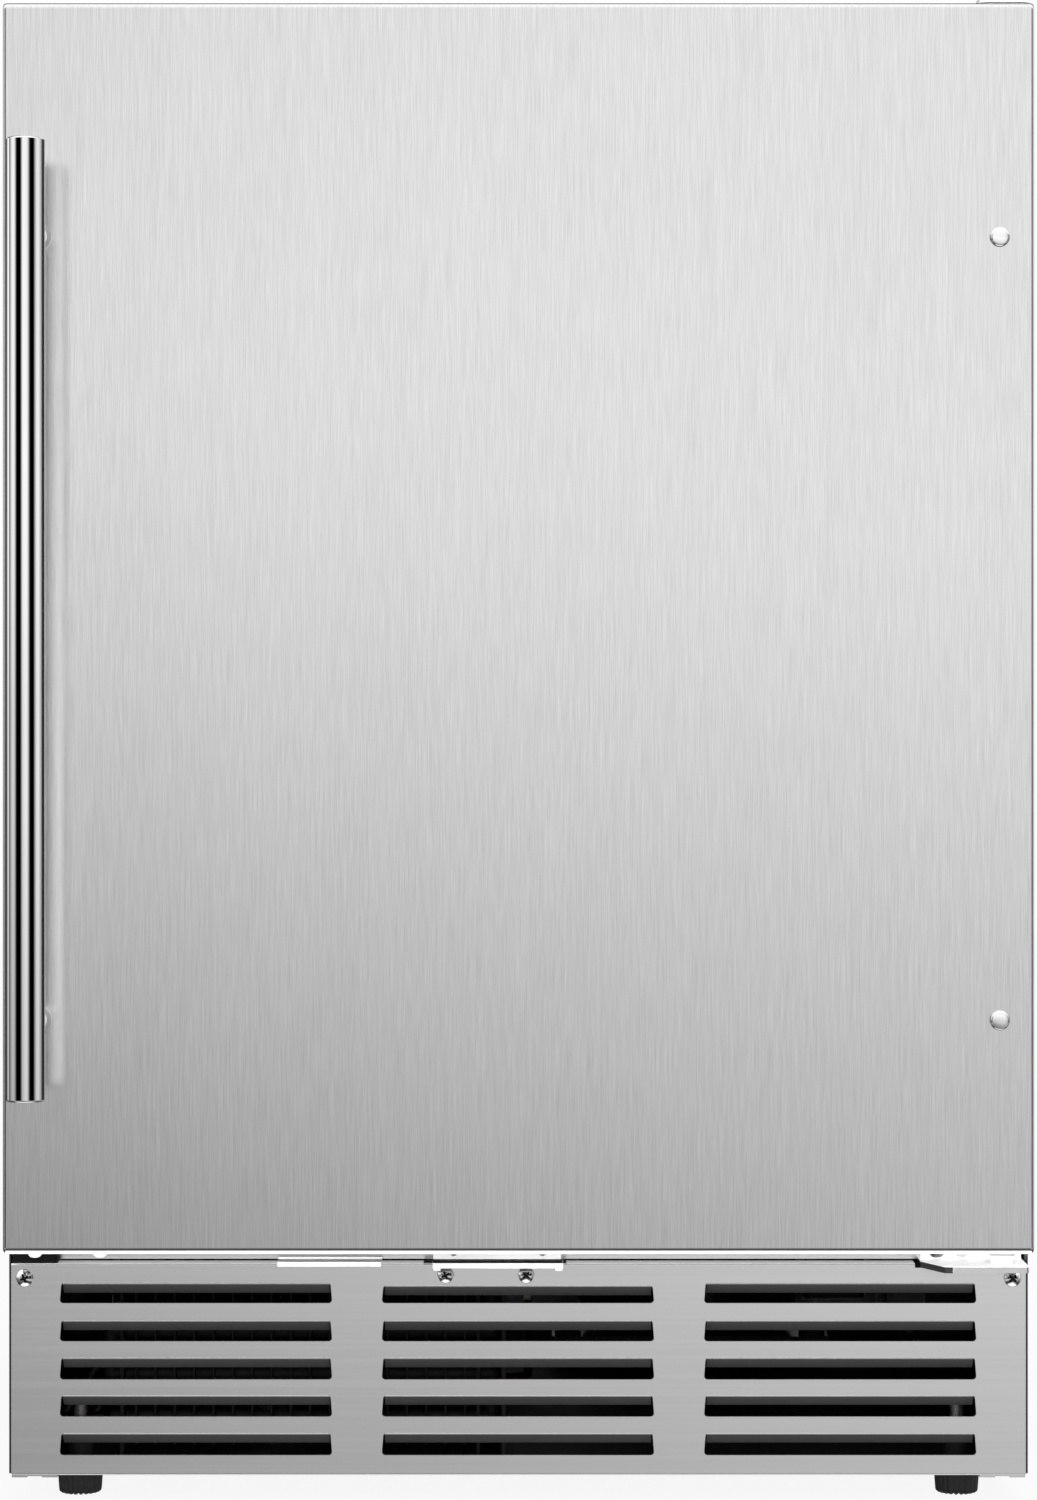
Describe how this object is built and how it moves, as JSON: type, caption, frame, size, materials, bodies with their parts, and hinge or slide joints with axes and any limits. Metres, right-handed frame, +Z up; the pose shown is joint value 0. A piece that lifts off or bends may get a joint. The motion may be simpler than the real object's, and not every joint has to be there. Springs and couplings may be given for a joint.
{
  "type": "undercounter refrigerator",
  "caption": "Undercounter refrigerator with a stainless door hinged on the right, a tubular bar handle, a louvred plinth grille, wire shelves and levelling feet.",
  "frame": {"origin": "on the floor under the middle of the overall box, door handle to the back of the cabinet", "axes": "+X to the right seen from the front, +Y towards the back of the cabinet, +Z up"},
  "size_m": [0.595, 0.636, 0.8767],
  "materials": {
    "cabinet_black": "satin",
    "galvanised_sheet": "matte",
    "zinc_fasteners": "satin",
    "foam": "matte",
    "white_plastic": "satin",
    "stainless_brushed": "satin",
    "chrome_screws": "polished",
    "hinge_plate": "polished",
    "sensor_bracket": "satin",
    "black_plastic": "satin",
    "bush_plastic": "satin",
    "gasket_rubber": "matte",
    "rubber_black": "matte",
    "foot_plastic": "satin",
    "handle_chrome": "polished",
    "lock_metal": "satin",
    "compressor_enamel": "gloss",
    "condenser_metal": "matte",
    "coil_aluminium": "satin",
    "copper": "satin",
    "lens": "gloss",
    "shelf_wire": "polished"
  },
  "bodies": {
    "cabinet": {"left_side_panel": "cabinet_black", "right_side_panel": "cabinet_black", "top_panel": "cabinet_black", "base_pan": "cabinet_black", "step_panel": "cabinet_black", "foot_brackets": "cabinet_black", "back_panel": "galvanised_sheet", "rear_cover": "galvanised_sheet", "bracket_rivets": "zinc_fasteners", "rear_cover_screws": "zinc_fasteners", "insulation": "foam", "inner_liner": "white_plastic", "evaporator_cover": "white_plastic", "control_housing": "white_plastic", "kick_grille": "stainless_brushed", "bottom_rail": "stainless_brushed", "grille_screws": "chrome_screws", "keeper_screws": "chrome_screws", "hinge_screws": "chrome_screws", "lower_hinge_bracket": "hinge_plate", "upper_hinge_bracket": "hinge_plate", "lock_keeper": "hinge_plate", "door_sensor_bracket": "sensor_bracket", "hinge_seat_cover": "black_plastic", "fan_shroud": "black_plastic", "relay_box": "black_plastic", "drip_tray": "black_plastic", "cord_inlet": "black_plastic", "evaporator_fan_motor": "black_plastic", "condenser_fan_motor": "black_plastic", "compressor_grommets": "rubber_black", "compressor": "compressor_enamel", "condenser": "condenser_metal", "evaporator_coil": "coil_aluminium", "refrigerant_lines": "copper", "filter_drier": "copper", "light_lens": "lens"},
    "door": {"door_skin": "stainless_brushed", "door_foam": "foam", "door_liner": "white_plastic", "door_gasket": "gasket_rubber", "handle_tube": "handle_chrome", "handle_end_caps": "handle_chrome", "handle_posts": "handle_chrome", "hole_plugs": "chrome_screws", "hinge_bushings": "bush_plastic", "door_plug_screws": "chrome_screws", "lock_housing": "lock_metal"},
    "lock_cylinder": {"lock_cylinder": "lock_metal"},
    "lock_bolt": {"lock_bolt": "lock_metal"},
    "shelf_lower": {"shelf_lower": "shelf_wire"},
    "shelf_middle": {"shelf_middle": "shelf_wire"},
    "shelf_upper": {"shelf_upper": "shelf_wire"},
    "condenser_fan": {"condenser_fan": "black_plastic"},
    "evaporator_fan": {"evaporator_fan": "black_plastic"},
    "thermostat_knob": {"thermostat_knob": "black_plastic"},
    "foot_front_left": {"foot_front_left": "foot_plastic"},
    "foot_front_right": {"foot_front_right": "foot_plastic"},
    "foot_rear_left": {"foot_rear_left": "foot_plastic"},
    "foot_rear_right": {"foot_rear_right": "foot_plastic"}
  },
  "joints": [
    {"name": "door_hinge", "type": "hinge", "parent": "cabinet", "child": "door", "pos_m": [0.2804, -0.237, 0.51], "axis": [0, 0, 1], "range_deg": [0, 115]},
    {"name": "lock_turn", "type": "hinge", "parent": "door", "child": "lock_cylinder", "pos_m": [-0.024, -0.229, 0.16], "axis": [0, 0, 1], "range_deg": [0, 90]},
    {"name": "lock_throw", "type": "slide", "parent": "door", "child": "lock_bolt", "axis": [0, 0, -1], "range_m": [0, 0.0078]},
    {"name": "shelf_lower_slide", "type": "slide", "parent": "cabinet", "child": "shelf_lower", "axis": [0, -1, 0], "range_m": [0, 0.02]},
    {"name": "shelf_middle_slide", "type": "slide", "parent": "cabinet", "child": "shelf_middle", "axis": [0, -1, 0], "range_m": [0, 0.02]},
    {"name": "shelf_upper_slide", "type": "slide", "parent": "cabinet", "child": "shelf_upper", "axis": [0, -1, 0], "range_m": [0, 0.02]},
    {"name": "condenser_fan_spin", "type": "hinge", "parent": "cabinet", "child": "condenser_fan", "pos_m": [-0.13, -0.074, 0.082], "axis": [0, 1, 0], "continuous": true},
    {"name": "evaporator_fan_spin", "type": "hinge", "parent": "cabinet", "child": "evaporator_fan", "pos_m": [0, 0.2315, 0.64], "axis": [0, 1, 0], "continuous": true},
    {"name": "thermostat_turn", "type": "hinge", "parent": "cabinet", "child": "thermostat_knob", "pos_m": [0.045, -0.155, 0.805], "axis": [0, 1, 0], "range_deg": [0, 270]},
    {"name": "foot_front_left_level", "type": "slide", "parent": "cabinet", "child": "foot_front_left", "axis": [0, 0, -1], "range_m": [0, 0.025]},
    {"name": "foot_front_right_level", "type": "slide", "parent": "cabinet", "child": "foot_front_right", "axis": [0, 0, -1], "range_m": [0, 0.025]},
    {"name": "foot_rear_left_level", "type": "slide", "parent": "cabinet", "child": "foot_rear_left", "axis": [0, 0, -1], "range_m": [0, 0.025]},
    {"name": "foot_rear_right_level", "type": "slide", "parent": "cabinet", "child": "foot_rear_right", "axis": [0, 0, -1], "range_m": [0, 0.025]}
  ],
  "couplings": [
    {"joint": "lock_turn", "follows": "lock_throw", "rad_per_m": 201}
  ]
}
